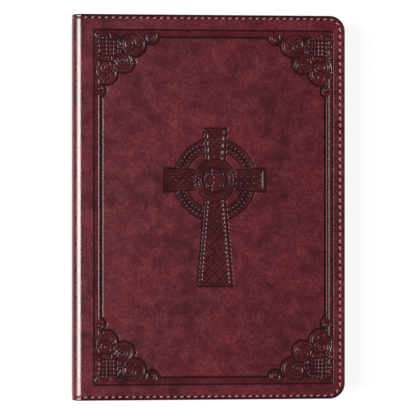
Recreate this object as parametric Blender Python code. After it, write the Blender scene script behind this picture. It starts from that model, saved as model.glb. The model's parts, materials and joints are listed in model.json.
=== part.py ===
"""A leather-bound prayer book, closed and lying on its back cover.

Frame: +X runs from the spine to the fore edge, +Y from the tail to the head of the pages, and +Z from the
back cover up to the front cover. The origin is the centre of the underside of the closed book. Metres.

The case is a chain of back cover, spine and front cover, joined by two strips of bare leather. The pages
are twelve folded sections. As the book opens at its middle, the spine swings down flat on the table, the
front half follows it, and each section slides towards the gutter, so that the pages fan out over the spine.
"""

import math

import bmesh
import bpy
from mathutils import Vector

# Driving dimensions of the closed book.
WIDTH = 0.140
HEIGHT = 0.197
THICKNESS = 0.028
JOINT_RADIUS = 0.0045
CORNER_RADIUS = 0.0080

# Layers of a cover, and the glue line or air between any two pieces.
LEATHER = 0.0009
BOARD = 0.0011
PAPER = 0.0003
GAP = 0.0002
COVER = LEATHER + GAP + BOARD + GAP + PAPER
TURN_IN = 0.0045
SPINE_CARD = 0.0007
LINING = 0.0002
SPINE_LINING_FROM_FACE = 0.0055

# The pages are smaller than the covers by these margins.
HEAD_SQUARE = 0.0032
FORE_SQUARE = 0.0038
PAGE_CORNER_RADIUS = 0.005
SECTION_COUNT = 12
BACK_ROUNDING = 0.0014

# The sewn seam round each cover.
THREAD = 0.0004
SEAM_WIDTH = 0.0010
SEAM_DEPTH = 0.00065
SEAM_FROM_HEAD = 0.0018
SEAM_FROM_FORE_EDGE = 0.0025

# The tooled decoration of the front cover: a frame, and a ringed cross in the middle.
FRAME_LEFT, FRAME_RIGHT = -0.0588, 0.0635
FRAME_HEIGHT = 0.1810
FRAME_BAND = 0.0036
TOOLED_LINE = 0.0009
TOOLED_DEPTH = 0.00030
CROSS_X, CROSS_Y = 0.0030, 0.0140
CROSS_ARM = 0.0260
CROSS_TOP = 0.0264
CROSS_FOOT = 0.0544
CROSS_BAR = 0.0122
CROSS_FOOT_WIDTH = 0.0180
CROSS_RING, CROSS_RING_INNER = 0.0211, 0.0151

SPINE_X = -WIDTH / 2
FORE_X = WIDTH / 2
LEATHER_START_X = SPINE_X + JOINT_RADIUS + GAP / 2
BOARD_START_X = SPINE_X + JOINT_RADIUS + 0.0007
PAGE_X = SPINE_X + 0.0033
PAGE_FORE_X = FORE_X - FORE_SQUARE
PAGE_TOP_Y = HEIGHT / 2 - HEAD_SQUARE
ARC_STEPS = 6
BEAD_RADIUS = 0.0009

# The axes of the three hinges run along Y: back cover to spine, spine to pages, and pages to front cover.
# The first two stand in from the outside so far that a joint's leather just lies flat when it is open.
JOINT_LENGTH = math.pi / 2 * (JOINT_RADIUS - LEATHER / 2)
SPINE_HINGE_Z = JOINT_RADIUS - JOINT_LENGTH / 2
SPINE_HINGE_X = SPINE_X + SPINE_HINGE_Z
PAGES_HINGE_X, PAGES_HINGE_Z = SPINE_HINGE_X, THICKNESS - SPINE_HINGE_Z
# The front cover's axis is just outside its face, so that the cover can fold right round under the book.
COVER_HINGE_X, COVER_HINGE_Z = SPINE_X + 0.0030, THICKNESS + 0.00015

LEATHER_RED = (0.13, 0.022, 0.032)
THREAD_PINK = (0.32, 0.10, 0.12)
CARD_GREY = (0.35, 0.32, 0.28)
PAPER_CREAM = (0.80, 0.74, 0.60)
KRAFT_BROWN = (0.42, 0.28, 0.16)
GAUZE_WHITE = (0.75, 0.73, 0.68)
BAND_GOLD = (0.62, 0.42, 0.16)


def clear_scene():
    for obj in list(bpy.data.objects):
        bpy.data.objects.remove(obj)


def hinge_axis(name, x, z):
    """An empty on a hinge's axis, which runs along Y. The pieces that turn about it hang from it."""
    axis = bpy.data.objects.new(name, None)
    axis.location = (x, 0.0, z)
    bpy.context.scene.collection.objects.link(axis)
    return axis


def hang(pieces, axis):
    """Parents the pieces to a hinge's axis where they are."""
    bpy.context.view_layer.update()
    for piece in pieces:
        piece.parent = axis
        piece.matrix_parent_inverse = axis.matrix_world.inverted()


def material(name, colour, roughness):
    """The material of this name, made at its first use."""
    made = bpy.data.materials.get(name)
    if made is None:
        made = bpy.data.materials.new(name)
        made.use_nodes = True
        shader = made.node_tree.nodes["Principled BSDF"]
        shader.inputs["Base Color"].default_value = (*colour, 1.0)
        shader.inputs["Roughness"].default_value = roughness
        shader.inputs["Metallic"].default_value = 0.0
    return made


def leather():
    return material("burgundy_leather", LEATHER_RED, 0.38)


def thread():
    return material("seam_thread", THREAD_PINK, 0.6)


def card():
    return material("grey_board", CARD_GREY, 0.9)


def paper():
    return material("page_paper", PAPER_CREAM, 0.85)


def add_mesh(name, bm, finish=None):
    """A named object from a bmesh, with its normals out."""
    bm.normal_update()
    bmesh.ops.recalc_face_normals(bm, faces=bm.faces)
    mesh = bpy.data.meshes.new(name)
    bm.to_mesh(mesh)
    bm.free()
    obj = bpy.data.objects.new(name, mesh)
    bpy.context.scene.collection.objects.link(obj)
    if finish is not None:
        mesh.materials.append(finish)
    return obj


def prism(outline, low, high, axis="Z"):
    """A bmesh of an outline extruded along an axis: XY points along Z, or XZ points along Y."""
    place = {"Z": lambda a, b, t: (a, b, t), "Y": lambda a, b, t: (a, t, b)}[axis]
    bm = bmesh.new()
    base = bm.faces.new([bm.verts.new(place(a, b, low)) for a, b in outline])
    grown = bmesh.ops.extrude_face_region(bm, geom=[base])
    moved = [item for item in grown["geom"] if isinstance(item, bmesh.types.BMVert)]
    bmesh.ops.translate(bm, verts=moved, vec=Vector(place(0, 0, high - low)))
    return bm


def arc(centre, radius, start, end, steps=ARC_STEPS):
    """Points on an arc, in degrees, both ends included."""
    angles = [math.radians(start + (end - start) * i / steps) for i in range(steps + 1)]
    return [(centre[0] + radius * math.cos(a), centre[1] + radius * math.sin(a)) for a in angles]


def leaf_outline(start_x, end_x, half_height, radius):
    """The plan of a leaf or cover: square at the spine, with round corners at the fore edge."""
    tail = arc((end_x - radius, radius - half_height), radius, -90, 0)
    head = arc((end_x - radius, half_height - radius), radius, 0, 90)
    return [(start_x, -half_height), *tail, *head, (start_x, half_height)]


def cover_outline(start_x, inset=0.0, fore_inset=None):
    """The plan of a cover, moved in from its edges."""
    fore_inset = inset if fore_inset is None else fore_inset
    radius = CORNER_RADIUS - inset
    return leaf_outline(start_x, FORE_X - fore_inset, HEIGHT / 2 - inset, radius)


def cutter(name, bm):
    """A helper that only cuts, and is left out of the object."""
    obj = add_mesh(name, bm)
    obj.hide_render = True
    obj.display_type = "WIRE"
    return obj


def cut(obj, tool):
    modifier = obj.modifiers.new(tool.name, "BOOLEAN")
    modifier.operation = "DIFFERENCE"
    modifier.solver = "EXACT"
    modifier.object = tool


def flipped(bm, side):
    """The mesh as it is for the front cover, or turned over for the back cover."""
    if side == "back":
        for vert in bm.verts:
            vert.co.z = THICKNESS - vert.co.z
    return bm


def round_rim(bm):
    """Rounds the outer edges of a cover's leather on its three free sides."""
    rim = [
        edge
        for edge in bm.edges
        if abs(edge.verts[0].co.z - edge.verts[1].co.z) < GAP
        and max(vert.co.x for vert in edge.verts) > LEATHER_START_X + GAP
    ]
    bmesh.ops.bevel(bm, geom=rim, offset=0.0004, segments=2, profile=0.5, affect="EDGES")
    return bm


def ring_prism(outer, inner, low, high):
    """A bmesh of the band between two outlines with as many points."""
    bm = bmesh.new()
    loops = [
        [bm.verts.new((x, y, z)) for x, y in outline]
        for outline, z in ((outer, low), (outer, high), (inner, high), (inner, low))
    ]
    for i, first in enumerate(loops):
        second = loops[(i + 1) % len(loops)]
        for k in range(len(first)):
            n = (k + 1) % len(first)
            bm.faces.new((first[k], first[n], second[n], second[k]))
    return bm


def seam_path():
    """Plan points of the seam, from the spine end of the head round to the spine end of the tail."""
    start = LEATHER_START_X + 0.002
    radius = CORNER_RADIUS - SEAM_FROM_HEAD
    outline = leaf_outline(start, FORE_X - SEAM_FROM_FORE_EDGE, HEIGHT / 2 - SEAM_FROM_HEAD, radius)
    return outline[::-1]


def offset_path(path, distance):
    """The path moved sideways by a distance, for the walls of the seam's groove."""
    moved = []
    for i, point in enumerate(path):
        before = Vector(path[max(i - 1, 0)])
        after = Vector(path[min(i + 1, len(path) - 1)])
        along = (after - before).normalized()
        moved.append((point[0] - along.y * distance, point[1] + along.x * distance))
    return moved


def seam_groove(side):
    path = seam_path()
    first, last = Vector(path[0]), Vector(path[-1])
    path = [(first.x - SEAM_WIDTH / 2, first.y), *path[1:-1], (last.x - SEAM_WIDTH / 2, last.y)]
    outline = offset_path(path, SEAM_WIDTH / 2) + offset_path(path, -SEAM_WIDTH / 2)[::-1]
    bm = prism(outline, THICKNESS - SEAM_DEPTH, THICKNESS + 0.001)
    return cutter(f"cut_{side}_seam", flipped(bm, side))


def frame_line(name, inset, depth):
    """One tooled line of the front cover's frame, as a cutter."""
    half = FRAME_HEIGHT / 2

    def rectangle(grow):
        left, right, top = FRAME_LEFT + grow, FRAME_RIGHT - grow, half - grow
        return [(left, -top), (right, -top), (right, top), (left, top)]

    outer, inner = rectangle(inset), rectangle(inset + TOOLED_LINE)
    return cutter(name, ring_prism(outer, inner, THICKNESS - depth, THICKNESS + 0.001))


def cross_cutters():
    """The ringed cross: an upright that widens to its foot, a cross bar, and a ring behind them."""
    half_bar, half_foot = CROSS_BAR / 2, CROSS_FOOT_WIDTH / 2
    top, foot = CROSS_Y + CROSS_TOP, CROSS_Y - CROSS_FOOT
    neck = CROSS_Y - half_bar
    upright = [
        (CROSS_X - half_foot, foot),
        (CROSS_X + half_foot, foot),
        (CROSS_X + half_bar, neck),
        (CROSS_X + half_bar, top),
        (CROSS_X - half_bar, top),
        (CROSS_X - half_bar, neck),
    ]
    bar = [
        (CROSS_X - CROSS_ARM, CROSS_Y - half_bar),
        (CROSS_X + CROSS_ARM, CROSS_Y - half_bar),
        (CROSS_X + CROSS_ARM, CROSS_Y + half_bar),
        (CROSS_X - CROSS_ARM, CROSS_Y + half_bar),
    ]
    ring_steps = 32
    centre = (CROSS_X, CROSS_Y)
    outer = arc(centre, CROSS_RING, 0, 360, ring_steps)[:-1]
    inner = arc(centre, CROSS_RING_INNER, 0, 360, ring_steps)[:-1]
    above = THICKNESS + 0.001
    # Each piece of the cross is a little deeper than the last, so that no two floors coincide.
    shapes = [
        ("cut_cross_ring", ring_prism(outer, inner, THICKNESS - TOOLED_DEPTH, above)),
        ("cut_cross_bar", prism(bar, THICKNESS - TOOLED_DEPTH - 0.00003, above)),
        ("cut_cross_upright", prism(upright, THICKNESS - TOOLED_DEPTH - 0.00006, above)),
    ]
    return [cutter(name, bm) for name, bm in shapes]


def cover_leather(side):
    """The leather of one cover: it wraps the board's three free edges and is turned in over its inside."""
    inner_face = THICKNESS - COVER
    bm = round_rim(prism(cover_outline(LEATHER_START_X), inner_face, THICKNESS))
    obj = add_mesh(f"{side}_cover_leather", flipped(bm, side), leather())
    past = LEATHER_START_X - 0.001
    board_pocket = prism(cover_outline(past, LEATHER + GAP), inner_face + PAPER, THICKNESS - LEATHER)
    window = prism(cover_outline(past, TURN_IN), inner_face - 0.001, inner_face + PAPER + GAP / 2)
    cut(obj, cutter(f"cut_{side}_board", flipped(board_pocket, side)))
    cut(obj, cutter(f"cut_{side}_window", flipped(window, side)))
    cut(obj, seam_groove(side))
    return obj


def front_tooling(obj):
    cut(obj, frame_line("cut_frame_outer", 0.0, TOOLED_DEPTH))
    cut(obj, frame_line("cut_frame_inner", FRAME_BAND, TOOLED_DEPTH))
    for tool in cross_cutters():
        cut(obj, tool)


def cover_board(side):
    low = THICKNESS - COVER + PAPER + GAP
    inset = LEATHER + 2 * GAP
    bm = prism(cover_outline(BOARD_START_X, inset), low, low + BOARD)
    return add_mesh(f"{side}_board", flipped(bm, side), card())


def pastedown(side):
    """The endpaper glued to the inside of a cover, within the turned-in leather."""
    low = THICKNESS - COVER
    bm = prism(cover_outline(BOARD_START_X, TURN_IN + GAP), low, low + PAPER)
    return add_mesh(f"{side}_pastedown", flipped(bm, side), paper())


def free_endpaper(side):
    low = THICKNESS - COVER - GAP - PAPER
    outline = leaf_outline(PAGE_X + BACK_ROUNDING, PAGE_FORE_X, PAGE_TOP_Y, PAGE_CORNER_RADIUS)
    return add_mesh(f"{side}_free_endpaper", flipped(prism(outline, low, low + PAPER), side), paper())


def stitching(side):
    """The seam's thread, one run round three sides of a cover, lying in its groove."""
    curve = bpy.data.curves.new(f"{side}_stitching", "CURVE")
    curve.dimensions = "3D"
    curve.bevel_depth = THREAD / 2
    curve.bevel_resolution = 1
    curve.use_fill_caps = True
    path = seam_path()
    spline = curve.splines.new("POLY")
    spline.points.add(len(path) - 1)
    height = THICKNESS - 0.0003
    z = height if side == "front" else THICKNESS - height
    for point, (x, y) in zip(spline.points, path):
        point.co = (x, y, z, 1)
    curve.materials.append(thread())
    obj = bpy.data.objects.new(f"{side}_stitching", curve)
    bpy.context.scene.collection.objects.link(obj)
    return obj


def joint_leather(side):
    """The bare leather that bends between a cover and the spine: a quarter round."""
    centre = (SPINE_X + JOINT_RADIUS, THICKNESS - JOINT_RADIUS)
    # The strip stops short of the leather on both sides of it by the gap.
    trim = math.degrees(GAP / JOINT_RADIUS)
    outer = arc(centre, JOINT_RADIUS, 90 + trim, 180 - trim)
    inner = arc(centre, JOINT_RADIUS - LEATHER, 180 - trim, 90 + trim)
    bm = prism(outer + inner, -HEIGHT / 2, HEIGHT / 2, axis="Y")
    return add_mesh(f"{side}_joint_leather", flipped(bm, side), leather())


def upright_strip(name, x, width, low, high, half_height, finish):
    """A flat strip of the spine, standing on edge."""
    outline = [(x, low), (x + width, low), (x + width, high), (x, high)]
    return add_mesh(name, prism(outline, -half_height, half_height, axis="Y"), finish)


def back_x(z, x):
    """The rounded back of the pages: x at mid height, and further in towards both covers."""
    off_centre = (z - THICKNESS / 2) / (THICKNESS / 2 - COVER)
    return x + BACK_ROUNDING * off_centre**2


def curved_strip(name, x, width, low, high, half_height, finish):
    """A strip that follows the rounded back of the pages."""
    steps = 8
    levels = [low + (high - low) * i / steps for i in range(steps + 1)]
    outline = [(back_x(z, x), z) for z in levels]
    outline += [(back_x(z, x + width), z) for z in reversed(levels)]
    return add_mesh(name, prism(outline, -half_height, half_height, axis="Y"), finish)


def spine_parts():
    """The layers of the spine, from the leather in to the gauze that holds the sections together."""
    low, high = JOINT_RADIUS, THICKNESS - JOINT_RADIUS
    half = HEIGHT / 2
    card_x = SPINE_X + LEATHER + GAP
    lining_x = card_x + SPINE_CARD + GAP
    gauze_x = lining_x + LINING + GAP
    lining = material("kraft_lining", KRAFT_BROWN, 0.9)
    gauze = material("gauze", GAUZE_WHITE, 0.95)
    # The lining and the gauze end clear of the covers, so that both can lie flat when the book is open.
    end = SPINE_LINING_FROM_FACE
    return [
        upright_strip("spine_leather", SPINE_X, LEATHER, low + GAP, high - GAP, half, leather()),
        upright_strip("spine_inlay", card_x, SPINE_CARD, low, high, half - LEATHER - GAP, card()),
        curved_strip("spine_lining", lining_x, LINING, end, THICKNESS - end, PAGE_TOP_Y - 0.004, lining),
        curved_strip("spine_gauze", gauze_x, LINING, end, THICKNESS - end, PAGE_TOP_Y - 0.008, gauze),
    ]


def page_band(name, sign):
    """The sewn bead that hides the sections' folds at the head or the tail."""
    steps = 8
    low, high = SPINE_LINING_FROM_FACE - 0.0005, THICKNESS - SPINE_LINING_FROM_FACE + 0.0005
    radius = BEAD_RADIUS
    bm = bmesh.new()
    rings = []
    for i in range(steps + 1):
        z = low + (high - low) * i / steps
        centre_x = back_x(z, PAGE_X + 0.0010)
        circle = arc((centre_x, sign * (PAGE_TOP_Y + 0.0003 + radius)), radius, 0, 360, 10)[:-1]
        rings.append([bm.verts.new((x, y, z)) for x, y in circle])
    for first, second in zip(rings, rings[1:]):
        for k in range(len(first)):
            n = (k + 1) % len(first)
            bm.faces.new((first[k], first[n], second[n], second[k]))
    bm.faces.new(rings[0])
    bm.faces.new(rings[-1])
    return add_mesh(name, bm, material("page_band", BAND_GOLD, 0.5))


def section(index, low, high):
    """One folded section of pages: round at its fold, flush at its three cut edges."""
    middle = (low + high) / 2
    shift = back_x(middle, 0.0)
    outline = leaf_outline(PAGE_X + shift, PAGE_FORE_X + shift - BACK_ROUNDING, PAGE_TOP_Y, PAGE_CORNER_RADIUS)
    bm = prism(outline, low, high)
    fold = [
        edge
        for edge in bm.edges
        if all(abs(vert.co.x - (PAGE_X + shift)) < GAP / 4 for vert in edge.verts)
        and abs(edge.verts[0].co.z - edge.verts[1].co.z) < GAP / 4
    ]
    bmesh.ops.bevel(bm, geom=fold, offset=(high - low) * 0.42, segments=3, profile=0.5, affect="EDGES")
    return add_mesh(f"section_{index:02d}", bm, paper())


def sections():
    """Twelve sections between the two free endpapers, numbered from the front cover down."""
    low = COVER + GAP + PAPER + GAP
    pitch = (THICKNESS - 2 * low + GAP) / SECTION_COUNT
    bottoms = [low + pitch * (SECTION_COUNT - number) for number in range(1, SECTION_COUNT + 1)]
    return [section(i + 1, bottom, bottom + pitch - GAP) for i, bottom in enumerate(bottoms)]


def cover(side):
    """One cover: its leather, board, pastedown and seam."""
    return [cover_leather(side), cover_board(side), pastedown(side), stitching(side)]


def main():
    clear_scene()
    spine_hinge = hinge_axis("spine_hinge_axis", SPINE_HINGE_X, SPINE_HINGE_Z)
    pages_hinge = hinge_axis("front_pages_hinge_axis", PAGES_HINGE_X, PAGES_HINGE_Z)
    cover_hinge = hinge_axis("front_cover_hinge_axis", COVER_HINGE_X, COVER_HINGE_Z)
    hang([pages_hinge], spine_hinge)
    hang([cover_hinge], pages_hinge)

    cover("back")
    free_endpaper("back")
    joint_leather("back")
    front_cover = cover("front")
    front_tooling(front_cover[0])
    hang(front_cover, cover_hinge)

    bands = [page_band("head_band", 1), page_band("tail_band", -1)]
    hang([*spine_parts(), *bands, joint_leather("front")], spine_hinge)
    pages = sections()
    hang([free_endpaper("front"), *pages[: SECTION_COUNT // 2]], pages_hinge)


main()
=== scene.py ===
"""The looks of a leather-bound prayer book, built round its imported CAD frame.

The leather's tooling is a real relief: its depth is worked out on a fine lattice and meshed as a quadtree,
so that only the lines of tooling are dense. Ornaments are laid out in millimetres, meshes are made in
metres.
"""

import json
import math
import random

import bmesh
import bpy
import numpy as np
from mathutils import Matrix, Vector


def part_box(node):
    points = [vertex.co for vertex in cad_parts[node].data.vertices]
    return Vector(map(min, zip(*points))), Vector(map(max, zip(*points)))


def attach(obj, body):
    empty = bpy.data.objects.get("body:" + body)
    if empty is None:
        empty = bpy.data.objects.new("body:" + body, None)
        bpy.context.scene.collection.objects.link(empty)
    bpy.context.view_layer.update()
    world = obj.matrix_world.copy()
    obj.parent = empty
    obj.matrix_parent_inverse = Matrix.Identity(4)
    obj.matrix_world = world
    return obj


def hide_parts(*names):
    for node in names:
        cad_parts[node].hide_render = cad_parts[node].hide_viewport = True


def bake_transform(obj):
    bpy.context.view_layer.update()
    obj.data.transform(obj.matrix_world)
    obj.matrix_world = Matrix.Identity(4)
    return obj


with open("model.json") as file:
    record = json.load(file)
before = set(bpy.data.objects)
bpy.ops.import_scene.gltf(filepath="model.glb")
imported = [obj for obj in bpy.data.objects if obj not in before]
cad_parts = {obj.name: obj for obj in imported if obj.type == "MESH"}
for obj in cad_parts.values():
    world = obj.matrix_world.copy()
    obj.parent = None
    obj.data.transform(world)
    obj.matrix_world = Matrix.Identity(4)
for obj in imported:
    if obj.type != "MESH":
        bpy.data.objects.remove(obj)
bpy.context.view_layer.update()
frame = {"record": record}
random.seed(7)

MM = 0.001

# What CAD says about the covers, in millimetres.
FRONT_LOW, FRONT_HIGH = (np.array(corner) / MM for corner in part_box("front_cover_leather"))
BOARD_HIGH = np.array(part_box("front_board")[1]) / MM
PASTEDOWN_HIGH = np.array(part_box("front_pastedown")[1]) / MM
SPINE_LOW, SPINE_HIGH = (np.array(corner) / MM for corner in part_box("spine_leather"))
COVER_START_X, FORE_X = FRONT_LOW[0], FRONT_HIGH[0]
HALF_HEIGHT = FRONT_HIGH[1]
THICKNESS = FRONT_HIGH[2]
SPINE_X = SPINE_LOW[0]
LEATHER = SPINE_HIGH[0] - SPINE_LOW[0]
JOINT_RADIUS = 4.5
CORNER_RADIUS = 8.0
RIM = 0.6

# The front joint's outside is a quarter of an ellipse; its top end lies in the cover's leather.
JOINT_REACH = 5.0
JOINT_X, JOINT_Z = SPINE_X + JOINT_REACH, THICKNESS - JOINT_RADIUS
JOINT_END = 90.0 + math.degrees(math.asin((JOINT_X - COVER_START_X) / JOINT_REACH))

# The seam round a cover.
SEAM_FROM_HEAD, SEAM_FROM_FORE_EDGE = 1.8, 2.5
STITCH_PITCH = 3.5
STITCH_LENGTH = 3.0
THREAD_RADIUS = 0.40
THREAD_FLATNESS = 0.6
STITCH_SLANT = math.radians(28)
HOLE_OFF = STITCH_PITCH * 0.44

# The frame of tooling, as in CAD.
FRAME_LEFT, FRAME_RIGHT, FRAME_TOP = -58.8, 63.5, 90.5
FRAME_BAND = 3.6
CROSS_CENTRE = (3.0, 14.0)

# Grooves, each as half its width and its depth.
FRAME_LINE = (0.42, 0.36)
INNER_LINE = (0.62, 0.36)
FINE_LINE = (0.20, 0.18)
FINE_LINE_OFF = 1.65
KNOT_LINE = (0.36, 0.28)
SEAM_LINE = (0.36, 0.22)
NEEDLE_HOLE = (0.30, 0.55)

# The camera looks at the cover from this far, this far off the upright, and sees this width there.
CAMERA_DISTANCE, CAMERA_WIDTH = 1000.0, 212.7
CAMERA_LEAN = 5.0
CAMERA_AIM = (-0.75, -0.35)
SENSOR_WIDTH = 36.0

# The soft box, in metres and watts, and the pale floor's own light.
BOX_PLACE = (-0.93, 0.0, 1.17)
BOX_SIZE = (0.7, 1.10)
BOX_POWER = 56.0
WORLD_STRENGTH = 0.5
FLOOR_GLOW = 0.90
FLOOR_REACH = 6.0


def smooth(t):
    t = np.clip(t, 0.0, 1.0)
    return t * t * (3.0 - 2.0 * t)


class Relief:
    """Depths and darkness over the plan of a cover, on a lattice whose fore-edge corners are rounded."""

    BLOCK = 32
    BLOCKS = (24, 36)
    WALL = 0.32

    def __init__(self):
        self.counts = [self.BLOCK * blocks for blocks in self.BLOCKS]
        half = HALF_HEIGHT - RIM
        self.xs = np.linspace(COVER_START_X, FORE_X - RIM, self.counts[0] + 1)
        self.ys = np.linspace(-half, half, self.counts[1] + 1)
        x, y = np.meshgrid(self.xs, self.ys, indexing="ij")
        self.x, self.y = self.rounded(x, y)
        into_joint = np.clip((JOINT_X - self.x) / JOINT_REACH, 0.0, 1.0)
        self.depth = JOINT_RADIUS * (1.0 - np.sqrt(1.0 - into_joint**2))
        self.dark = self.painted_rim_shade()

    @staticmethod
    def rounded(x, y):
        """The square lattice pulled in so that its outer line follows the round corners."""
        u = x - (FORE_X - CORNER_RADIUS)
        v = np.abs(y) - (HALF_HEIGHT - CORNER_RADIUS)
        inside = (u > 0) & (v > 0)
        pull = np.where(inside, np.maximum(u, v) / np.maximum(np.hypot(u, v), 1e-9), 1.0)
        new_x = np.where(inside, FORE_X - CORNER_RADIUS + u * pull, x)
        new_y = np.where(inside, np.sign(y) * (HALF_HEIGHT - CORNER_RADIUS + v * pull), y)
        return new_x, new_y

    def painted_rim_shade(self):
        """Painted shade: the leather is darker where it rolls over the head and the tail."""
        u = self.x - np.minimum(self.x, FORE_X - CORNER_RADIUS)
        v = np.abs(self.y) - np.minimum(np.abs(self.y), HALF_HEIGHT - CORNER_RADIUS)
        out = np.hypot(u, v)
        endways = smooth(1.6 * v / np.maximum(out, 1e-9))
        return endways * smooth((out - CORNER_RADIUS + 1.45) / 0.5)

    def press(self, distance, half_width, depth, dark=1.0, where=None):
        """A groove along the zero of a distance field."""
        part = smooth((half_width - np.abs(distance)) / self.WALL + 0.5)
        if where is not None:
            part = part * where
        self.depth = np.maximum(self.depth, depth * part)
        self.dark = np.maximum(self.dark, dark * part)

    def window(self, points, margin):
        """Index slices of the lattice round some points."""
        low, high = points.min(axis=0) - margin, points.max(axis=0) + margin
        i = np.searchsorted(self.xs, (low[0], high[0]))
        j = np.searchsorted(self.ys, (low[1], high[1]))
        return slice(max(i[0] - 1, 0), i[1] + 1), slice(max(j[0] - 1, 0), j[1] + 1)

    def stroke(self, points, half_width, depth, dark):
        """A groove along a line of points."""
        points = np.asarray(points, float)
        view = self.window(points, half_width + self.WALL + 1.0)
        x, y = self.x[view], self.y[view]
        nearest = np.full(x.shape, np.inf)
        for (ax, ay), (bx, by) in zip(points, points[1:]):
            dx, dy = bx - ax, by - ay
            along = np.clip(((x - ax) * dx + (y - ay) * dy) / max(dx * dx + dy * dy, 1e-9), 0, 1)
            nearest = np.minimum(nearest, np.hypot(x - ax - along * dx, y - ay - along * dy))
        part = smooth((half_width - nearest) / self.WALL + 0.5)
        self.depth[view] = np.maximum(self.depth[view], depth * part)
        self.dark[view] = np.maximum(self.dark[view], dark * part)

    def dot(self, centre, radius, depth, dark):
        """A round pricked hole."""
        self.stroke([centre, (centre[0] + 0.01, centre[1])], radius, depth, dark)


def circle(centre, radius, start=0.0, end=360.0, step=12.0):
    count = max(3, int(abs(end - start) / step))
    angles = np.radians(np.linspace(start, end, count + 1))
    return np.stack([centre[0] + radius * np.cos(angles), centre[1] + radius * np.sin(angles)], axis=1)


def spiral(centre, radii, start, turns):
    """Points that wind in from the first radius to the second."""
    count = int(abs(turns) * 24)
    part = np.linspace(0.0, 1.0, count + 1)
    angles = math.radians(start) + part * turns * 2 * math.pi
    radius = radii[0] + (radii[1] - radii[0]) * part
    return np.stack([centre[0] + radius * np.cos(angles), centre[1] + radius * np.sin(angles)], axis=1)


def curved(points, steps=6):
    """A smooth line through a few points."""
    points = np.asarray(points, float)
    padded = np.vstack([2 * points[0] - points[1], points, 2 * points[-1] - points[-2]])
    made = []
    for a, b, c, d in zip(padded, padded[1:], padded[2:], padded[3:]):
        for t in np.arange(steps) / steps:
            square = (2 * a - 5 * b + 4 * c - d) * t**2
            cube = (3 * b - a - 3 * c + d) * t**3
            made.append(0.5 * (2 * b + (c - a) * t + square + cube))
    made.append(points[-1])
    return np.array(made)


# The corner knot, in millimetres along the two sides of the frame from its corner. It mirrors itself
# over the diagonal, so each stroke is also pressed with its two coordinates swapped.
KNOT_LOBES = [((30.2, 2.9), 3.7), ((21.1, 6.6), 6.4), ((15.9, 15.9), 5.6), ((8.5, 8.5), 7.2)]
KNOT_SHIFT = 0.7
KNOT_PITCH = 1.96
KNOT_FIRST_LINE = 4.4


def knot_strokes():
    lines = [KNOT_FIRST_LINE + KNOT_PITCH * i for i in range(5)]
    first, last = lines[0], lines[-1]
    half = [[(line, first - 0.3), (line, last + 0.3)] for line in lines]
    half += [
        # The loop that each outer strand makes at the frame's side, and the leaf in its corner.
        curved([(6.4, 4.3), (6.6, 2.6), (7.6, 1.5), (8.6, 2.6), (8.8, 4.3)]),
        curved([(1.5, 1.1), (3.3, 1.7), (4.3, 3.0), (4.8, 4.4)]),
        curved([(1.9, 1.9), (3.2, 3.2)]),
        # The loop that slants away from the grid.
        curved([(10.6, 4.2), (11.6, 2.9), (13.0, 1.5)]),
        curved([(12.0, 4.7), (13.0, 3.4), (14.3, 2.2)]),
        # The long scroll and its inner line, which run round the big lobe and on to the small one.
        curved([(12.6, 6.4), (13.9, 4.0), (16.2, 2.2), (19.3, 1.4), (22.3, 2.0), (24.4, 3.6), (26.0, 4.9)]),
        spiral((18.1, 6.6), (4.3, 1.0), 170, -1.9),
        curved([(12.7, 8.9), (16.0, 9.5), (18.6, 10.4), (20.4, 11.9)]),
        curved([(13.6, 7.4), (15.6, 7.9)]),
        # A leaf in the big lobe, and the crossing below it.
        curved([(22.0, 7.2), (23.2, 5.8), (24.8, 5.0)]),
        curved([(22.4, 8.6), (24.0, 8.0), (25.2, 6.6)]),
        curved([(20.0, 9.3), (21.6, 10.6)]),
        # The small end scroll.
        spiral((29.3, 3.7), (2.1, 0.5), 200, -1.4),
    ]
    strokes = [np.asarray(line, float) for line in half]
    strokes += [line[:, ::-1] for line in strokes]
    # The drop on the diagonal.
    turn = np.array([[1.0, 1.0], [-1.0, 1.0]]) / math.sqrt(2)
    for along, across in ((4.3, 3.6), (2.9, 2.0), (1.1, 0.6)):
        oval = circle((0, 0), 1.0) * (along, across) @ turn
        strokes.append(oval + (14.7 + 0.25 * along / 4, 14.9 + 0.25 * along / 4))
    strokes.append(curved([(11.8, 13.2), (13.2, 11.8)]))
    return strokes


def corner_signs():
    return [(sx, sy) for sx in (1, -1) for sy in (1, -1)]


def knot_place(points, sx, sy):
    """Knot coordinates as plan coordinates, in the corner that the signs name."""
    points = np.asarray(points, float)
    corner_x = FRAME_LEFT if sx > 0 else FRAME_RIGHT
    x = corner_x + sx * (points[..., 0] - KNOT_SHIFT)
    y = sy * (FRAME_TOP - points[..., 1] - KNOT_SHIFT)
    return np.stack([x, y], axis=-1)


def press_frame(relief):
    """The frame's two lines. The inner one swells round the corner knots in lobes."""
    x, y = relief.x, relief.y
    outer = np.minimum(np.minimum(x - FRAME_LEFT, FRAME_RIGHT - x), FRAME_TOP - np.abs(y))
    relief.press(outer, *FRAME_LINE)
    field = outer - FRAME_BAND
    for sx, sy in corner_signs():
        for centre, radius in KNOT_LOBES:
            for place in (centre, centre[::-1]):
                cx, cy = knot_place(place, sx, sy)
                field = np.minimum(field, np.hypot(x - cx, y - cy) - radius)
    inside = smooth(outer / 0.5)
    relief.press(field, *INNER_LINE, where=inside)
    relief.press(field + FINE_LINE_OFF, *FINE_LINE, 0.7, where=inside)
    # Between the two lines the leather stands a little lower and darker.
    band = smooth(outer) * smooth(-field)
    relief.depth = np.maximum(relief.depth, 0.05 * band)
    relief.dark = np.maximum(relief.dark, 0.30 * band)
    for sx, sy in corner_signs():
        for line in knot_strokes():
            relief.stroke(knot_place(line, sx, sy), *KNOT_LINE, 1.0)


def taper(value, stops):
    """A width that changes in straight runs between stops."""
    places, widths = zip(*stops)
    return np.interp(value, places, widths)


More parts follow.
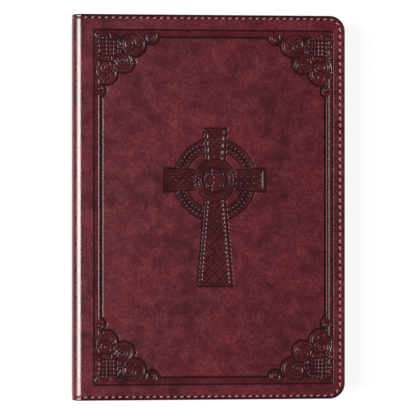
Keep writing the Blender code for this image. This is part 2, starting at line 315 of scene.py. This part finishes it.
# Half widths of the cross along its upright, from the foot, and along each arm, from the centre.
UPRIGHT = [(-54.4, 9.0), (-9.6, 5.4), (8.0, 5.2), (26.4, 6.1)]
ARM = [(0.0, 5.0), (10.0, 5.0), (26.0, 6.2)]
RING = (15.1, 21.1)
BOSS = 10.8


def press_lattice(relief, u, v, pitch, where):
    """Two sets of slanting lines that cross, as a plait."""
    for sign in (1, -1):
        across = (u + sign * v) / math.sqrt(2)
        spacing = pitch / math.sqrt(2)
        distance = (across / spacing - np.round(across / spacing)) * spacing
        relief.press(distance, 0.36, 0.30, 0.95, where)


def press_cross(relief):
    x, y = relief.x - CROSS_CENTRE[0], relief.y - CROSS_CENTRE[1]
    r = np.hypot(x, y)
    upright = np.maximum(np.abs(x) - taper(y, UPRIGHT), np.maximum(y - UPRIGHT[-1][0], UPRIGHT[0][0] - y))
    arms = np.maximum(np.abs(y) - taper(np.abs(x), ARM), np.abs(x) - ARM[-1][0])
    cross = np.minimum(upright, arms)
    ring = np.maximum(r - RING[1], RING[0] - r)
    whole = np.minimum(np.minimum(cross, ring), r - BOSS)
    floor = smooth(-whole / 0.4)
    relief.depth = np.maximum(relief.depth, 0.12 * floor)
    relief.dark = np.maximum(relief.dark, 0.52 * floor)

    outside_boss = smooth((r - BOSS) / 0.3)
    beyond_cross = smooth((cross - 0.2) / 0.3)
    relief.press(cross, 0.40, 0.38, 1.0, outside_boss)
    relief.press(cross + 1.75, 0.22, 0.30, 0.9, outside_boss)
    for radius in RING:
        relief.press(r - radius, 0.36, 0.38, 1.0, beyond_cross)

    # Pairs of beads stand up from the sunk band of the ring.
    band = smooth(-(ring + 0.9) / 0.4) * beyond_cross
    beads = np.zeros_like(r)
    for radius in (17.1, 19.2):
        count = int(2 * math.pi * radius / 2.05)
        angle = np.arctan2(y, x) * count / (2 * math.pi)
        off = (angle - np.round(angle)) * 2 * math.pi / count * radius
        beads = np.maximum(beads, smooth((0.72 - np.hypot(off, r - radius)) / 0.4))
    relief.depth = np.maximum(relief.depth, (0.36 - 0.28 * beads) * band)
    relief.dark = np.maximum(relief.dark, (1.0 - 0.6 * beads) * band)

    fill = smooth(-(cross + 2.1) / 0.3) * outside_boss
    shaft = smooth((-y - BOSS) / 0.5)
    press_lattice(relief, x, y, 5.3, fill * shaft)
    press_lattice(relief, x, y, 3.5, fill * (1.0 - shaft))

    for radius, half_width in ((BOSS - 0.2, 0.34), (BOSS - 1.9, 0.30), (BOSS - 3.3, 0.26)):
        relief.press(r - radius, half_width, 0.36)
    # Inside the boss a small cross with curled ends stands up from a sunk disc.
    small = np.minimum(
        np.maximum(np.abs(x) - 0.55 - 0.22 * np.abs(y), np.abs(y) - 5.4),
        np.maximum(np.abs(y) - 0.55 - 0.22 * np.abs(x), np.abs(x) - 5.4),
    )
    curl = np.abs(np.hypot(np.abs(x) - 2.9, np.abs(y) - 2.9) - 1.55) - 0.33
    bead = np.hypot(np.abs(x) - 2.9, np.abs(y) - 2.9) - 0.55
    raised = smooth(-np.minimum(np.minimum(small, curl), bead) / 0.35 + 0.5)
    disc = smooth((BOSS - 3.7 - r) / 0.3)
    relief.depth = np.maximum(relief.depth, (0.36 - 0.24 * raised) * disc)
    relief.dark = np.maximum(relief.dark, (1.0 - 0.55 * raised) * disc)


def seam_path():
    """Plan points and directions along the seam, one at the middle of each stitch."""
    start = COVER_START_X + 0.6
    top = HALF_HEIGHT - SEAM_FROM_HEAD
    right = FORE_X - SEAM_FROM_FORE_EDGE
    radius = CORNER_RADIUS - SEAM_FROM_HEAD
    dense = [(start, top)]
    dense += list(circle((right - radius, top - radius), radius, 90, 0, 4))
    dense += list(circle((right - radius, radius - top), radius, 0, -90, 4))
    dense.append((start, -top))
    dense = np.array(dense, float)
    steps = np.hypot(*np.diff(dense, axis=0).T)
    along = np.concatenate([[0.0], np.cumsum(steps)])
    count = round(along[-1] / STITCH_PITCH)
    pitch = along[-1] / count
    stations = (np.arange(count) + 0.5) * pitch

    def at(distance):
        return np.stack([np.interp(distance, along, dense[:, k]) for k in (0, 1)], axis=1)

    middles = at(stations)
    directions = at(stations + 0.3) - at(stations - 0.3)
    directions /= np.hypot(*directions.T)[:, None]
    return dense, middles, directions


def press_seam(relief):
    dense, middles, directions = seam_path()
    relief.stroke(dense, *SEAM_LINE, 0.55)
    for middle, direction in zip(middles, directions):
        for sign in (-1, 1):
            # Each needle hole is darkened to near black: painted shade inside the hole.
            relief.dot(middle + sign * direction * HOLE_OFF, *NEEDLE_HOLE, 1.0)


def quadtree(relief, tolerance):
    """Leaf cells of the lattice, each as lattice indices anticlockwise, fine only where the depth bends."""
    z = relief.depth
    nx, ny = relief.counts
    split = {}
    size = relief.BLOCK
    while size > 1:
        corner = z[::size, ::size]
        error = np.zeros((nx // size, ny // size))
        for a in range(size + 1):
            for b in range(size + 1):
                s, t = a / size, b / size
                flat = corner[:-1, :-1] * (1 - s) * (1 - t) + corner[1:, :-1] * s * (1 - t)
                flat += corner[:-1, 1:] * (1 - s) * t + corner[1:, 1:] * s * t
                here = z[a : nx + 1 if a == size else None : size, b : ny + 1 if b == size else None : size]
                error = np.maximum(error, np.abs(here[: nx // size, : ny // size] - flat))
        split[size] = error > tolerance
        size //= 2
    # A cell may meet cells of half its size, and none smaller.
    size = 4
    while size <= relief.BLOCK:
        child = np.pad(split[size // 2], 1)
        spread = np.zeros_like(split[size // 2])
        for di in range(3):
            for dj in range(3):
                spread |= child[di : di + spread.shape[0], dj : dj + spread.shape[1]]
        parent = spread.reshape(spread.shape[0] // 2, 2, spread.shape[1] // 2, 2).any(axis=(1, 3))
        split[size] |= parent
        size *= 2
    faces = []
    there = np.ones((nx // relief.BLOCK, ny // relief.BLOCK), bool)
    size = relief.BLOCK
    while size >= 1:
        cut = split[size] if size > 1 else np.zeros_like(there)
        cut = cut & there
        around = np.pad(cut, 1)
        half = size // 2
        for i, j in np.argwhere(there & ~cut):
            x, y = i * size, j * size
            face = [(x, y)]
            if around[i + 1, j]:
                face.append((x + half, y))
            face.append((x + size, y))
            if around[i + 2, j + 1]:
                face.append((x + size, y + half))
            face.append((x + size, y + size))
            if around[i + 1, j + 2]:
                face.append((x + half, y + size))
            face.append((x, y + size))
            if around[i, j + 1]:
                face.append((x, y + half))
            faces.append(face)
        there = np.repeat(np.repeat(cut, 2, axis=0), 2, axis=1)
        size //= 2
    return faces


def add_piece(name, verts, faces, materials, face_slots=None):
    """A mesh object from points in millimetres."""
    mesh = bpy.data.meshes.new(name)
    mesh.from_pydata([tuple(float(c) * MM for c in vert) for vert in verts], [], faces)
    for made in materials:
        mesh.materials.append(made)
    if face_slots is not None:
        mesh.polygons.foreach_set("material_index", face_slots)
    mesh.validate()
    obj = bpy.data.objects.new(name, mesh)
    bpy.context.scene.collection.objects.link(obj)
    return obj


def shade(obj, degrees):
    """Smooth shading that keeps edges sharper than an angle."""
    obj.data.shade_smooth()
    obj.data.set_sharp_from_angle(angle=math.radians(degrees))


def store(obj, name, values):
    """One number for each point of a mesh, for its material to read."""
    layer = obj.data.attributes.new(name, "FLOAT", "POINT")
    layer.data.foreach_set("value", np.asarray(values, np.float32))


def cover_skin(name, relief, materials, flip):
    """The leather of a cover: tooling outside, round edges with painted shade on the rim, turned in over
    the board, open at the spine.
    """
    cells = quadtree(relief, 0.03)
    keys = {}
    verts, dark = [], []

    def vert(i, j):
        if (i, j) not in keys:
            keys[i, j] = len(verts)
            verts.append((relief.x[i, j], relief.y[i, j], THICKNESS - relief.depth[i, j]))
            dark.append(relief.dark[i, j])
        return keys[i, j]

    faces = [[vert(i, j) for i, j in cell] for cell in cells]
    nx, ny = relief.counts
    tail = sorted(key for key in keys if key[1] == 0)
    fore = sorted((key for key in keys if key[0] == nx and 0 < key[1] < ny), key=lambda key: key[1])
    head = sorted((key for key in keys if key[1] == ny), reverse=True)
    rim = [*tail, *fore, *head]
    spine_side = sorted((key for key in keys if key[0] == 0), key=lambda key: key[1])

    inner = FRONT_LOW[2]
    turned = PASTEDOWN_HIGH[2]
    pocket = FORE_X - BOARD_HIGH[0] - 0.2
    turn_in = FORE_X - PASTEDOWN_HIGH[0] - 0.2
    profile = [
        (0.30, THICKNESS - 0.06),
        (0.10, THICKNESS - 0.24),
        (0.0, THICKNESS - 0.60),
        (0.0, inner + 0.55),
        (0.12, inner + 0.20),
        (0.42, inner),
        (turn_in, inner),
        (turn_in, turned),
        (pocket, turned),
        (pocket, THICKNESS - LEATHER),
    ]
    rings = [[keys[key] for key in rim]]
    for inset, z in profile:
        ring = []
        for i, j in rim:
            x, y = relief.x[i, j], relief.y[i, j]
            straight = HALF_HEIGHT - CORNER_RADIUS
            core = (min(x, FORE_X - CORNER_RADIUS), max(min(y, straight), -straight))
            out = Vector((x - core[0], y - core[1])).normalized() * (CORNER_RADIUS - inset)
            ring.append(len(verts))
            verts.append((core[0] + out.x, core[1] + out.y, z))
            # The rim's outer rings are darkened as painted shade on the rolled edge; the turned-in rings
            # are not.
            dark.append(0.0 if inset > 0.5 else 0.9)
        rings.append(ring)
    for first, second in zip(rings, rings[1:]):
        for k in range(len(first) - 1):
            faces.append([first[k + 1], first[k], second[k], second[k + 1]])
    faces.append(list(reversed(rings[-1])))
    end = [keys[key] for key in spine_side]
    end += [ring[-1] for ring in rings[1:]]
    end += [ring[0] for ring in reversed(rings[1:])]
    faces.append(end)
    if flip:
        verts = [(x, y, THICKNESS - z) for x, y, z in verts]
        faces = [face[::-1] for face in faces]
    # Pressed leather is duller, but the frame's line by the fore edge keeps the polish.
    pressed = np.zeros(len(faces), np.int32)
    for number, face in enumerate(faces):
        from_line = abs(np.mean([verts[k][0] for k in face]) - FRAME_RIGHT)
        pressed[number] = max(dark[k] for k in face) > PRESSED_FROM and from_line > POLISHED_LINE
    obj = add_piece(name, verts, faces, materials, pressed)
    shade(obj, 30)
    store(obj, "tooling_and_painted_shade", dark)
    return obj


def strip(name, section, dark_of, materials):
    """A strip of leather along the spine. section(edge) is its outline in XZ at a distance from an end."""
    stations = [0.0, 0.05, 0.15, 0.3, 0.45, 0.6, 0.9, 1.15, 1.35, 1.6]
    stations += [1.8, 2.0, 2.25, 2.45, 2.7, 3.2, 6.0, 12.0]
    levels = [(-HALF_HEIGHT + s, s) for s in stations]
    inner = np.linspace(-HALF_HEIGHT + 20.0, HALF_HEIGHT - 20.0, 30)
    levels += [(float(y), HALF_HEIGHT) for y in inner]
    levels += [(HALF_HEIGHT - s, s) for s in reversed(stations)]
    verts, dark, faces = [], [], []
    size = 0
    for y, edge in levels:
        outline = section(edge)
        size = len(outline)
        for k, (x, z) in enumerate(outline):
            verts.append((x, y, z))
            dark.append(dark_of(edge) if k < size // 2 else 0.0)
    for level in range(len(levels) - 1):
        for k in range(size):
            n = (k + 1) % size
            a, b = level * size, (level + 1) * size
            faces.append([a + k, a + n, b + n, b + k])
    faces.append(list(range(size)))
    faces.append([len(verts) - size + k for k in range(size)][::-1])
    obj = add_piece(name, verts, faces, materials)
    outwards(obj)
    shade(obj, 50)
    store(obj, "tooling_and_painted_shade", dark)
    return obj


def outwards(obj):
    bm = bmesh.new()
    bm.from_mesh(obj.data)
    bm.normal_update()
    bmesh.ops.recalc_face_normals(bm, faces=bm.faces)
    bm.to_mesh(obj.data)
    bm.free()


def end_drop(edge):
    """How far the leather's outside sinks near the head or tail: a rounded edge, then the seam's groove."""
    rounded = RIM - math.sqrt(max(RIM**2 - max(RIM - edge, 0.0) ** 2, 0.0))
    groove = 0.30 * float(smooth((0.36 - abs(edge - SEAM_FROM_HEAD)) / 0.42 + 0.5))
    return rounded + groove


def end_dark(edge):
    # Darker in the seam's groove; within half a millimetre of the end the rolled edge gets painted shade.
    groove = 0.7 * float(smooth((0.36 - abs(edge - SEAM_FROM_HEAD)) / 0.42 + 0.5))
    return max(groove, 0.35 if edge < 0.5 else 0.0)


def joint_section(start, end):
    """The outline of the front joint's round between two angles; it is a little wider than high."""
    inner_centre = (SPINE_X + JOINT_RADIUS, JOINT_Z)

    def section(edge):
        drop = end_drop(edge)
        angles = np.radians(np.linspace(start, end, 13))
        wide, high = JOINT_REACH - drop, JOINT_RADIUS - drop
        outer = [(JOINT_X + wide * math.cos(a), JOINT_Z + high * math.sin(a)) for a in angles]
        inner = circle(inner_centre, JOINT_RADIUS - LEATHER, end, start, 7.5)
        return outer + [tuple(p) for p in inner]

    return section


def turned_over(section):
    return lambda edge: [(x, THICKNESS - z) for x, z in section(edge)]


def spine_section(edge):
    drop = end_drop(edge)
    low, high = JOINT_RADIUS, THICKNESS - JOINT_RADIUS
    heights = np.linspace(low, high, 9)
    outer = [(SPINE_X + drop, float(z)) for z in heights]
    inner = [(SPINE_X + LEATHER, float(z)) for z in reversed(heights)]
    return outer + inner


class Nodes:
    """Short names for building a node material."""

    def __init__(self, name):
        self.material = bpy.data.materials.new(name)
        self.material.use_nodes = True
        self.tree = self.material.node_tree
        self.shader = self.tree.nodes["Principled BSDF"]

    def add(self, kind, **settings):
        node = self.tree.nodes.new(kind)
        for key, value in settings.items():
            setattr(node, key, value)
        return node

    def link(self, source, target):
        self.tree.links.new(source, target)

    def coordinates(self, stretch=(1.0, 1.0, 1.0)):
        """The object's own coordinates, in millimetres."""
        place = self.add("ShaderNodeTexCoord")
        mapping = self.add("ShaderNodeMapping")
        mapping.inputs["Scale"].default_value = tuple(s / MM for s in stretch)
        self.link(place.outputs["Object"], mapping.inputs["Vector"])
        return mapping.outputs["Vector"]

    def noise(self, vector, size, detail=3.0, roughness=0.5, distortion=0.0):
        """Noise with features of about a size in millimetres."""
        node = self.add("ShaderNodeTexNoise")
        node.inputs["Scale"].default_value = 1.0 / size
        node.inputs["Detail"].default_value = detail
        node.inputs["Roughness"].default_value = roughness
        node.inputs["Distortion"].default_value = distortion
        self.link(vector, node.inputs["Vector"])
        return node.outputs["Fac"]

    def span(self, value, low, high, to_low=0.0, to_high=1.0):
        node = self.add("ShaderNodeMapRange", interpolation_type="SMOOTHSTEP")
        for key, number in zip(("From Min", "From Max", "To Min", "To Max"), (low, high, to_low, to_high)):
            node.inputs[key].default_value = number
        self.link(value, node.inputs["Value"])
        return node.outputs["Result"]

    def math(self, operation, first, second):
        node = self.add("ShaderNodeMath", operation=operation)
        for socket, value in zip(node.inputs, (first, second)):
            if isinstance(value, (int, float)):
                socket.default_value = value
            else:
                self.link(value, socket)
        return node.outputs["Value"]

    def mix(self, factor, first, second):
        node = self.add("ShaderNodeMix", data_type="RGBA")
        for key, value in ((0, factor), (6, first), (7, second)):
            if isinstance(value, tuple):
                node.inputs[key].default_value = (*value, 1.0)
            elif isinstance(value, (int, float)):
                node.inputs[key].default_value = value
            else:
                self.link(value, node.inputs[key])
        return node.outputs[2]

    def bump(self, height, distance, strength=1.0, normal=None):
        node = self.add("ShaderNodeBump")
        node.inputs["Distance"].default_value = distance * MM
        node.inputs["Strength"].default_value = strength
        self.link(height, node.inputs["Height"])
        if normal is not None:
            self.link(normal, node.inputs["Normal"])
        return node.outputs["Normal"]

    def finish(self, colour, roughness, normal=None, **sockets):
        for key, value in (("Base Color", colour), ("Roughness", roughness), ("Normal", normal)):
            if value is None:
                continue
            if isinstance(value, tuple):
                self.shader.inputs[key].default_value = (*value, 1.0)
            elif isinstance(value, (int, float)):
                self.shader.inputs[key].default_value = value
            else:
                self.link(value, self.shader.inputs[key])
        for key, value in sockets.items():
            self.shader.inputs[key.replace("_", " ")].default_value = value
        return self.material


def leather_material(name, gloss):
    """Marbled burgundy leather with a fine grain, darker where tooling presses it, with painted shade on
    the rims and in the needle holes.
    """
    nodes = Nodes(name)
    place = nodes.coordinates()
    patches = nodes.span(nodes.noise(place, 26.0, 4.0, 0.55, 0.4), 0.36, 0.66)
    clouds = nodes.span(nodes.noise(place, 7.0, 5.0, 0.62, 0.2), 0.30, 0.72)
    specks = nodes.span(nodes.noise(place, 1.1, 2.0, 0.6), 0.40, 0.62)
    colour = nodes.mix(patches, LEATHER_DARK, LEATHER_MID)
    colour = nodes.mix(nodes.math("MULTIPLY", clouds, 0.62), colour, LEATHER_LIGHT)
    colour = nodes.mix(nodes.math("MULTIPLY", specks, 0.68), colour, LEATHER_DARK)
    # This darkens toward near black: burnished tooling, plus painted shade on the rolled rims and in the
    # needle holes.
    tooling_and_painted_shade = nodes.add("ShaderNodeAttribute", attribute_name="tooling_and_painted_shade").outputs["Fac"]
    colour = nodes.mix(nodes.math("MULTIPLY", tooling_and_painted_shade, 0.86), colour, LEATHER_TOOLING_AND_SHADE)
    grain = nodes.add("ShaderNodeTexVoronoi", feature="SMOOTH_F1")
    grain.inputs["Scale"].default_value = 1.0 / 0.75
    nodes.link(place, grain.inputs["Vector"])
    fine = nodes.noise(place, 0.35, 2.0, 0.6)
    normal = nodes.bump(grain.outputs["Distance"], 0.03, 0.35)
    normal = nodes.bump(fine, 0.02, 0.30, normal)
    rough = nodes.math("ADD", nodes.math("MULTIPLY", clouds, 0.05), LEATHER_ROUGHNESS)
    rough = nodes.math("ADD", rough, nodes.math("MULTIPLY", tooling_and_painted_shade, -0.02))
    return nodes.finish(colour, rough, normal, Specular_IOR_Level=gloss)


def thread_material():
    nodes = Nodes("burgundy_thread")
    place = nodes.coordinates()
    fibre = nodes.noise(place, 0.12, 2.0, 0.6)
    colour = nodes.mix(nodes.span(fibre, 0.3, 0.7), THREAD_DARK, THREAD_LIGHT)
    return nodes.finish(colour, 0.38, nodes.bump(fibre, 0.02, 0.5))


def paper_material(name, colour, mottle):
    nodes = Nodes(name)
    place = nodes.coordinates()
    fibre = nodes.noise(place, 1.4, 5.0, 0.65, 0.6)
    shade_of = tuple(c * mottle for c in colour)
    mixed = nodes.mix(nodes.span(fibre, 0.3, 0.7), shade_of, colour)
    return nodes.finish(mixed, 0.85, nodes.bump(nodes.noise(place, 0.3), 0.02, 0.4))


def gilt_material():
    """Gold leaf on the cut edges: the leaves show through it as fine lines."""
    nodes = Nodes("gilt_edge")
    lines = nodes.coordinates((0.02, 0.02, 1.0))
    leaves = nodes.noise(lines, 0.09, 2.0, 0.7)
    wear = nodes.span(nodes.noise(nodes.coordinates(), 3.0, 4.0, 0.6), 0.25, 0.75)
    colour = nodes.mix(wear, GILT_DARK, GILT)
    colour = nodes.mix(nodes.span(leaves, 0.62, 0.74, 0.0, 0.45), colour, PAGE)
    rough = nodes.math("ADD", nodes.math("MULTIPLY", wear, -0.10), 0.42)
    return nodes.finish(colour, rough, nodes.bump(leaves, 0.05, 0.7), Metallic=0.75)


def card_material():
    nodes = Nodes("grey_board")
    place = nodes.coordinates()
    flecks = nodes.span(nodes.noise(place, 0.8, 4.0, 0.7), 0.4, 0.7)
    colour = nodes.mix(flecks, (0.24, 0.22, 0.19), (0.36, 0.33, 0.29))
    return nodes.finish(colour, 0.9, nodes.bump(flecks, 0.03, 0.5))


def gauze_material():
    nodes = Nodes("spine_gauze")
    weave = []
    for axis in ("Y", "Z"):
        node = nodes.add("ShaderNodeTexWave", bands_direction=axis)
        node.inputs["Scale"].default_value = 0.9
        nodes.link(nodes.coordinates(), node.inputs["Vector"])
        weave.append(node.outputs["Fac"])
    thread = nodes.math("MAXIMUM", *weave)
    colour = nodes.mix(thread, (0.34, 0.28, 0.22), (0.70, 0.66, 0.58))
    return nodes.finish(colour, 0.95, nodes.bump(thread, 0.08, 0.8))


def band_material():
    """Silk wound in two colours over the page bands' cords."""
    nodes = Nodes("page_band_silk")
    wave = nodes.add("ShaderNodeTexWave", bands_direction="Z")
    wave.inputs["Scale"].default_value = 1.0 / 6.0
    nodes.link(nodes.coordinates(), wave.inputs["Vector"])
    colour = nodes.mix(nodes.span(wave.outputs["Fac"], 0.46, 0.54), (0.24, 0.03, 0.05), (0.72, 0.50, 0.20))
    return nodes.finish(colour, 0.45)


LEATHER_DARK = (0.030, 0.0050, 0.0072)
LEATHER_MID = (0.074, 0.0098, 0.0145)
LEATHER_LIGHT = (0.114, 0.0170, 0.0240)
# Near black: the tooling's burnish, and painted shade on the rims and in the needle holes.
LEATHER_TOOLING_AND_SHADE = (0.009, 0.0030, 0.0034)
LEATHER_ROUGHNESS = 0.20
PRESSED_GLOSS = 0.18
PRESSED_FROM = 0.02
POLISHED_LINE = 1.0
PLAIN_GLOSS = 0.5
SPINE_GLOSS = 0.25
THREAD_DARK = (0.120, 0.0360, 0.0500)
THREAD_LIGHT = (0.340, 0.1350, 0.1650)
PAGE = (0.45, 0.40, 0.31)
GILT = (0.83, 0.60, 0.24)
GILT_DARK = (0.68, 0.47, 0.17)


def stitches(name, material, side):
    """The seam's stitches on one face of a cover: slanting, two-ply, each end down its hole."""
    middles, directions = seam_path()[1:]
    slant = STITCH_SLANT
    rings, sides = 9, 8
    outside = THICKNESS - 0.16
    verts, faces = [], []
    for middle, direction in zip(middles, directions):
        turned = np.array(
            [
                direction[0] * math.cos(slant) - direction[1] * math.sin(slant),
                direction[0] * math.sin(slant) + direction[1] * math.cos(slant),
            ]
        )
        across = np.array([-turned[1], turned[0]])
        base = len(verts)
        for ring in range(rings):
            t = 2.0 * ring / (rings - 1) - 1.0
            centre = middle + turned * t * STITCH_LENGTH / 2
            endways = abs(direction[0])
            lift = outside - 0.50 * abs(t) ** (4.0 - 2.0 * endways) - 0.30 * endways * t**2
            radius = THREAD_RADIUS * math.sqrt(max(1.0 - 0.55 * t**6, 0.0))
            for k in range(sides):
                angle = 2 * math.pi * k / sides
                ply = radius * (1.0 + 0.16 * math.cos(2 * angle + 5.0 * t))
                point = centre + across * ply * math.cos(angle)
                verts.append((point[0], point[1], lift + THREAD_FLATNESS * ply * math.sin(angle)))
        for ring in range(rings - 1):
            for k in range(sides):
                n = (k + 1) % sides
                a, b = base + ring * sides, base + (ring + 1) * sides
                faces.append([a + k, a + n, b + n, b + k])
        faces.append([base + k for k in range(sides)])
        faces.append([base + (rings - 1) * sides + k for k in range(sides)][::-1])
    # The inner face shows the same seam, pulled tight into the turned-in leather.
    count = len(verts)
    verts += [(x, y, FRONT_LOW[2] + 0.10 - (z - outside)) for x, y, z in verts[:count]]
    faces += [[count + k for k in face] for face in list(faces)]
    if side == "back":
        verts = [(x, y, THICKNESS - z) for x, y, z in verts]
    obj = add_piece(name, verts, faces, [material])
    outwards(obj)
    shade(obj, 60)
    return obj


def leaf_outline(start_x, end_x, half_height, radius):
    tail = circle((end_x - radius, radius - half_height), radius, -90, 0, 11)
    head = circle((end_x - radius, half_height - radius), radius, 0, 90, 11)
    return [(start_x, -half_height), *map(tuple, tail), *map(tuple, head), (start_x, half_height)]


def pages(number, materials):
    """A folded section: its leaves show as fine steps at the cut edges, and as a round fold at the back."""
    low, high = (np.array(corner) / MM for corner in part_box(f"section_{number:02d}"))
    bottom, top = low[2] - 0.09, high[2] + 0.09
    leaves = 10
    levels = np.linspace(bottom, top, 2 * leaves + 1)
    middle, half = (bottom + top) / 2, (top - bottom) / 2
    radius = 5.0
    verts, faces, slots = [], [], []
    size = 0
    for k, z in enumerate(levels):
        off = 0.05 + 0.05 * random.random() if k % 2 else 0.0
        around = (z - middle) / half
        fold = low[0] + 0.75 * (1.0 - math.sqrt(max(1.0 - around**2, 0.0)))
        outline = leaf_outline(fold, high[0] - off, high[1] - off, radius)
        size = len(outline)
        verts += [(x, y, z) for x, y in outline]
    for k in range(len(levels) - 1):
        for i in range(size):
            n = (i + 1) % size
            a, b = k * size, (k + 1) * size
            faces.append([a + i, a + n, b + n, b + i])
            slots.append(0 if i == size - 1 else 1)
    faces.append(list(range(size))[::-1])
    faces.append([len(verts) - size + i for i in range(size)])
    slots += [0, 0]
    obj = add_piece(f"pages_{number:02d}", verts, faces, materials, slots)
    outwards(obj)
    shade(obj, 30)
    return obj


def page_band(name, node, material):
    """A cord wound with silk, along the node's own bead."""
    low, high = (np.array(corner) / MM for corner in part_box(node))
    radius = (high[1] - low[1]) / 2
    y = (low[1] + high[1]) / 2
    middle = (low[2] + high[2]) / 2
    turns = 40
    steps = turns * 4
    sides = 14
    verts, faces = [], []
    reach = high[0] - low[0] - 2 * radius
    for k in range(steps + 1):
        z = low[2] + (high[2] - low[2]) * k / steps
        across = (z - middle) / (high[2] - middle)
        x = low[0] + radius + reach * across**2
        thick = radius * (0.92 + 0.08 * math.cos(2 * math.pi * k / 4))
        for i in range(sides):
            angle = 2 * math.pi * i / sides
            verts.append((x + thick * math.cos(angle), y + thick * math.sin(angle), z))
    for k in range(steps):
        for i in range(sides):
            n = (i + 1) % sides
            a, b = k * sides, (k + 1) * sides
            faces.append([a + i, a + n, b + n, b + i])
    faces.append(list(range(sides)))
    faces.append([steps * sides + i for i in range(sides)][::-1])
    obj = add_piece(name, verts, faces, [material])
    outwards(obj)
    shade(obj, 60)
    return obj


def dress(node, material):
    """A better material on a CAD node whose shape is right."""
    obj = bpy.data.objects[node]
    obj.data.materials.clear()
    obj.data.materials.append(material)


def place_camera():
    """Nearly overhead, and far enough to the spine side to see a little of the spine."""
    data = bpy.data.cameras.new("camera")
    data.sensor_width = SENSOR_WIDTH
    data.lens = SENSOR_WIDTH * CAMERA_DISTANCE / CAMERA_WIDTH
    camera = bpy.data.objects.new("camera", data)
    lean = math.radians(CAMERA_LEAN)
    aim = Vector((CAMERA_AIM[0], CAMERA_AIM[1], THICKNESS)) * MM
    camera.location = aim + Vector((-math.sin(lean), 0.0, math.cos(lean))) * CAMERA_DISTANCE * MM
    camera.rotation_euler = (0.0, -lean, 0.0)
    bpy.context.scene.collection.objects.link(camera)
    bpy.context.scene.camera = camera


def area_light(name, place, size, power):
    """A soft box that faces the middle of the floor."""
    data = bpy.data.lights.new(name, "AREA")
    data.shape = "RECTANGLE"
    data.size, data.size_y = size
    data.energy = power
    light = bpy.data.objects.new(name, data)
    light.location = place
    light.rotation_euler = (-Vector(place)).to_track_quat("-Z", "Y").to_euler()
    bpy.context.scene.collection.objects.link(light)


def light_studio():
    """A white room, dark overhead and dark at the spine side but for one soft box."""
    world = bpy.data.worlds.new("studio")
    bpy.context.scene.world = world
    world.use_nodes = True
    tree = world.node_tree
    place = tree.nodes.new("ShaderNodeTexCoord")
    split = tree.nodes.new("ShaderNodeSeparateXYZ")
    tree.links.new(place.outputs["Generated"], split.inputs["Vector"])
    glow = tree.nodes.new("ShaderNodeMath")
    glow.operation = "MULTIPLY"
    ramps = (("Z", (0.62, 0.86, 1.0, 0.02)), ("X", (-0.55, -0.05, 0.04, 1.0)))
    for socket, (axis, limits) in zip(glow.inputs, ramps):
        ramp = tree.nodes.new("ShaderNodeMapRange")
        ramp.interpolation_type = "SMOOTHSTEP"
        for key, number in zip(("From Min", "From Max", "To Min", "To Max"), limits):
            ramp.inputs[key].default_value = number
        tree.links.new(split.outputs[axis], ramp.inputs["Value"])
        tree.links.new(ramp.outputs["Result"], socket)
    tree.links.new(glow.outputs["Value"], tree.nodes["Background"].inputs["Color"])
    tree.nodes["Background"].inputs["Strength"].default_value = WORLD_STRENGTH
    area_light("spine_side_box", BOX_PLACE, BOX_SIZE, BOX_POWER)
    bpy.context.scene.view_settings.view_transform = "Standard"


def floor():
    data = bpy.data.meshes.new("floor")
    corners = [(x * FLOOR_REACH, y * FLOOR_REACH, 0) for x, y in ((-1, -1), (1, -1), (1, 1), (-1, 1))]
    data.from_pydata(corners, [], [(0, 1, 2, 3)])
    obj = bpy.data.objects.new("floor", data)
    obj.location.z = -0.0002
    bpy.context.scene.collection.objects.link(obj)
    nodes = Nodes("pale_floor")
    place = nodes.coordinates()
    colour = nodes.mix(nodes.noise(place, 60.0), (0.09, 0.09, 0.09), (0.11, 0.11, 0.11))
    nodes.shader.inputs["Emission Color"].default_value = (1.0, 1.0, 1.0, 1.0)
    data.materials.append(nodes.finish(colour, 0.9, Emission_Strength=FLOOR_GLOW))


def build_leather():
    leather = leather_material("polished_leather", PLAIN_GLOSS)
    covers = [leather, leather_material("pressed_leather", PRESSED_GLOSS)]
    handled = leather_material("handled_leather", SPINE_GLOSS)
    front = Relief()
    press_frame(front)
    press_cross(front)
    press_seam(front)
    skin = cover_skin("front_cover_skin", front, covers, False)
    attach(skin, "front_cover")
    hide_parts("front_cover_leather")
    back = Relief()
    press_seam(back)
    skin = cover_skin("back_cover_skin", back, covers, True)
    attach(skin, "back_cover")
    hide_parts("back_cover_leather")

    spine = strip("spine_skin", spine_section, end_dark, [handled])
    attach(spine, "spine")
    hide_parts("spine_leather")

    # The front joint is in two lengths, split at an angle of its round.
    bend = 116.0
    spine_length = strip("front_joint_skin", joint_section(180.0, bend), end_dark, [handled])
    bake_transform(spine_length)
    cover_length = strip("front_joint_cover_skin", joint_section(bend, JOINT_END), end_dark, [leather])
    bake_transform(cover_length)
    back_joint = strip("back_joint_skin", turned_over(joint_section(180.0, JOINT_END)), end_dark, [handled])
    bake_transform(back_joint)
    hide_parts("front_joint_leather")
    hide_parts("back_joint_leather")


def body_of(node):
    bodies = frame["record"]["behaviour"]["bodies"]
    return next(name for name, nodes in bodies.items() if node in nodes)


def build_inside(paper, gilt):
    for number in range(1, 13):
        node = f"section_{number:02d}"
        piece = pages(number, [paper, gilt])
        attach(piece, body_of(node))
        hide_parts(node)
    silk = band_material()
    for node in ("head_band", "tail_band"):
        piece = page_band(f"{node}_silk", node, silk)
        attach(piece, "spine")
        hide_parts(node)
    card = card_material()
    endpaper = paper_material("endpaper", (0.42, 0.36, 0.27), 0.90)
    for side in ("front", "back"):
        dress(f"{side}_board", card)
        dress(f"{side}_pastedown", endpaper)
        dress(f"{side}_free_endpaper", endpaper)
    dress("spine_inlay", card)
    dress("spine_lining", paper_material("kraft_lining", (0.40, 0.27, 0.15), 0.8))
    dress("spine_gauze", gauze_material())


def build_seams():
    thread = thread_material()
    for side in ("front", "back"):
        piece = stitches(f"{side}_stitches", thread, side)
        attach(piece, f"{side}_cover")
        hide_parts(f"{side}_stitching")


place_camera()
light_studio()
floor()
build_leather()
build_seams()
build_inside(paper_material("page_paper", PAGE, 0.95), gilt_material())
